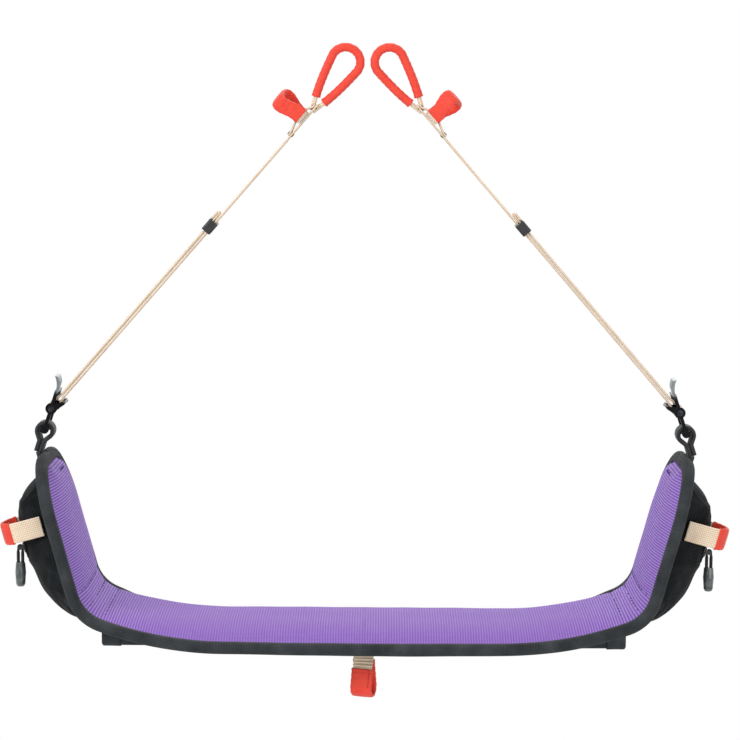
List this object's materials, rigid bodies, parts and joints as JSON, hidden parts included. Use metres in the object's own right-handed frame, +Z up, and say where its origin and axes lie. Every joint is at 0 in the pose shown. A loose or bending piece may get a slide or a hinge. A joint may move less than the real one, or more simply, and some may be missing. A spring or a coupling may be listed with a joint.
{
  "type": "bosuns chair",
  "caption": "Hanging work seat: padded board with side wings and pockets, two adjustable straps with buckles and keepers, and sleeved eyes that meet at the top.",
  "frame": {"origin": "the point between the two eyes, level with the middle of their round ends, where a connector carries the chair", "axes": "+Z up, the way the load pulls the eyes; +X to the seat's right; +Y from the front edge to the back"},
  "size_m": [0.719, 0.1724, 0.6449],
  "materials": {
    "mesh": "ribbed spacer mesh",
    "black_cloth": "plain woven cloth",
    "black_webbing": "woven webbing",
    "tan_webbing": "ribbed webbing",
    "red_sleeve": "woven tube",
    "foam": "closed cell foam",
    "board": "sealed plywood",
    "zip": "moulded",
    "black_cord": "braided cord",
    "pull": "moulded",
    "buckle": "polished and dark plated",
    "buckle_bar": "dark plated",
    "keeper": "moulded"
  },
  "bodies": {
    "seat": {"seat_board": "board", "board_sleeve": "black_cloth", "sleeve_flap_left": "black_cloth", "sleeve_flap_right": "black_cloth", "seat_mesh": "mesh", "seat_foam": "foam", "seat_backing": "black_cloth", "seat_binding": "black_cloth", "load_webbing": "black_webbing"},
    "tool_loop": {"tool_loop": "tan_webbing", "tool_loop_sleeve": "red_sleeve"},
    "wing_left": {"wing_mesh_left": "mesh", "wing_foam_left": "foam", "wing_backing_left": "black_cloth", "wing_binding_left": "black_cloth", "wing_tip_left": "black_cloth", "hang_webbing_left": "black_webbing", "wing_pocket_left": "black_cloth", "pocket_zip_left": "zip", "gear_loop_left": "tan_webbing", "gear_loop_sleeve_left": "red_sleeve"},
    "zip_slider_left": {"zip_slider_left": "zip"},
    "zip_pull_left": {"zip_cord_left": "black_cord", "zip_tab_left": "pull"},
    "hang_loop_left": {"hang_loop_left": "black_webbing"},
    "buckle_left": {"buckle_frame_left": "buckle", "buckle_bar_left": "buckle_bar", "strap_wrap_left": "tan_webbing"},
    "strap_left": {"strap_run_left": "tan_webbing", "eye_sleeve_left": "red_sleeve", "side_loop_left": "tan_webbing", "side_loop_sleeve_left": "red_sleeve"},
    "tail_left": {"strap_tail_left": "tan_webbing"},
    "keeper_left": {"strap_keeper_left": "keeper"},
    "wing_right": {"wing_mesh_right": "mesh", "wing_foam_right": "foam", "wing_backing_right": "black_cloth", "wing_binding_right": "black_cloth", "wing_tip_right": "black_cloth", "hang_webbing_right": "black_webbing", "wing_pocket_right": "black_cloth", "pocket_zip_right": "zip", "gear_loop_right": "tan_webbing", "gear_loop_sleeve_right": "red_sleeve"},
    "zip_slider_right": {"zip_slider_right": "zip"},
    "zip_pull_right": {"zip_cord_right": "black_cord", "zip_tab_right": "pull"},
    "hang_loop_right": {"hang_loop_right": "black_webbing"},
    "buckle_right": {"buckle_frame_right": "buckle", "buckle_bar_right": "buckle_bar", "strap_wrap_right": "tan_webbing"},
    "strap_right": {"strap_run_right": "tan_webbing", "eye_sleeve_right": "red_sleeve", "side_loop_right": "tan_webbing", "side_loop_sleeve_right": "red_sleeve"},
    "tail_right": {"strap_tail_right": "tan_webbing"},
    "keeper_right": {"strap_keeper_right": "keeper"}
  },
  "joints": [
    {"name": "tool_loop_swing", "type": "hinge", "parent": "seat", "child": "tool_loop", "pos_m": [0, -0.04, -0.57647], "axis": [1, 0, 0], "range_deg": [-60, 60]},
    {"name": "wing_fold_left", "type": "hinge", "parent": "seat", "child": "wing_left", "pos_m": [-0.25827, 0, -0.55386], "axis": [0, -1, 0], "range_deg": [0, 56], "stiffness_Nm_per_rad": 0.5, "springref_deg": -5.44},
    {"name": "hang_loop_swing_left", "type": "hinge", "parent": "wing_left", "child": "hang_loop_left", "pos_m": [-0.32564, 0, -0.3862], "axis": [0, -1, 0], "range_deg": [-5, 18]},
    {"name": "buckle_pivot_left", "type": "hinge", "parent": "hang_loop_left", "child": "buckle_left", "pos_m": [-0.31822, 0, -0.36337], "axis": [0, -1, 0], "range_deg": [0, 75]},
    {"name": "strap_adjust_left", "type": "slide", "parent": "buckle_left", "child": "strap_left", "axis": [0.6556, 0, 0.7551], "range_m": [-0.045, 0.18], "deforming": ["strap_run_left"]},
    {"name": "strap_tail_slide_left", "type": "slide", "parent": "buckle_left", "child": "tail_left", "axis": [0.6556, 0, 0.7551], "range_m": [-0.18, 0.045], "deforming": ["strap_tail_left"]},
    {"name": "keeper_slide_left", "type": "slide", "parent": "tail_left", "child": "keeper_left", "axis": [0.6556, 0, 0.7551], "range_m": [-0.15, 0]},
    {"name": "zip_slide_left", "type": "slide", "parent": "wing_left", "child": "zip_slider_left", "axis": [0, 1, 0], "range_m": [-0.016, 0.054]},
    {"name": "zip_pull_swing_left", "type": "hinge", "parent": "zip_slider_left", "child": "zip_pull_left", "pos_m": [-0.34346, -0.014, -0.48246], "axis": [0, 1, 0], "range_deg": [-8, 80]},
    {"name": "wing_fold_right", "type": "hinge", "parent": "seat", "child": "wing_right", "pos_m": [0.25827, 0, -0.55386], "axis": [0, 1, 0], "range_deg": [0, 56], "stiffness_Nm_per_rad": 0.5, "springref_deg": -5.44},
    {"name": "hang_loop_swing_right", "type": "hinge", "parent": "wing_right", "child": "hang_loop_right", "pos_m": [0.32564, 0, -0.3862], "axis": [0, 1, 0], "range_deg": [-5, 18]},
    {"name": "buckle_pivot_right", "type": "hinge", "parent": "hang_loop_right", "child": "buckle_right", "pos_m": [0.31822, 0, -0.36337], "axis": [0, 1, 0], "range_deg": [0, 75]},
    {"name": "strap_adjust_right", "type": "slide", "parent": "buckle_right", "child": "strap_right", "axis": [-0.6556, 0, 0.7551], "range_m": [-0.045, 0.18], "deforming": ["strap_run_right"]},
    {"name": "strap_tail_slide_right", "type": "slide", "parent": "buckle_right", "child": "tail_right", "axis": [-0.6556, 0, 0.7551], "range_m": [-0.18, 0.045], "deforming": ["strap_tail_right"]},
    {"name": "keeper_slide_right", "type": "slide", "parent": "tail_right", "child": "keeper_right", "axis": [-0.6556, 0, 0.7551], "range_m": [-0.15, 0]},
    {"name": "zip_slide_right", "type": "slide", "parent": "wing_right", "child": "zip_slider_right", "axis": [0, 1, 0], "range_m": [-0.016, 0.054]},
    {"name": "zip_pull_swing_right", "type": "hinge", "parent": "zip_slider_right", "child": "zip_pull_right", "pos_m": [0.34346, -0.014, -0.48246], "axis": [0, -1, 0], "range_deg": [-8, 80]}
  ],
  "couplings": [
    {"joint": "hang_loop_swing_left", "follows": "strap_adjust_left", "rad_per_m": 1.73},
    {"joint": "strap_tail_slide_left", "follows": "strap_adjust_left", "ratio": -1},
    {"joint": "hang_loop_swing_right", "follows": "strap_adjust_right", "rad_per_m": 1.73},
    {"joint": "strap_tail_slide_right", "follows": "strap_adjust_right", "ratio": -1}
  ]
}
